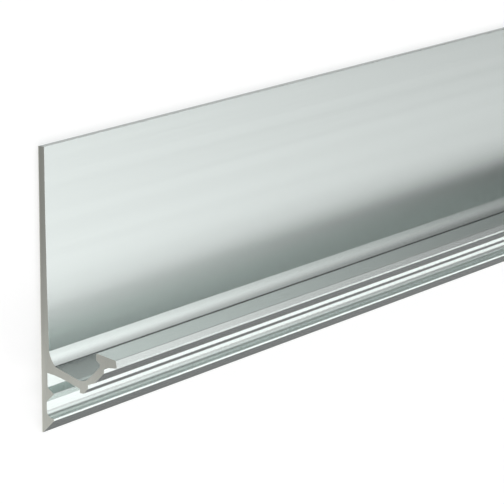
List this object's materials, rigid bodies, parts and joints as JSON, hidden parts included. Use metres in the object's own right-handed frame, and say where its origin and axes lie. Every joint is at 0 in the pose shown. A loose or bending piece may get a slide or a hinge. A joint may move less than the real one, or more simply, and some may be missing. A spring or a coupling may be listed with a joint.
{
  "type": "aluminium wall profile",
  "caption": "Straight extruded wall profile: tall flat-backed plate with a barbed hook channel, drip nib, pointed tooth and chamfered toe along its lower front.",
  "frame": {"origin": "centre of the flat back, under the middle of the length and of the plate's height", "axes": "+X along the length, +Y up the plate from the toe to the plain edge, +Z out of the flat back towards the hook channel"},
  "size_m": [1, 0.08, 0.0257],
  "materials": {
    "mill_finish_aluminium": "bright mill finish with fine lengthwise die lines"
  },
  "bodies": {
    "root": {"profile": "mill_finish_aluminium"}
  },
  "joints": []
}
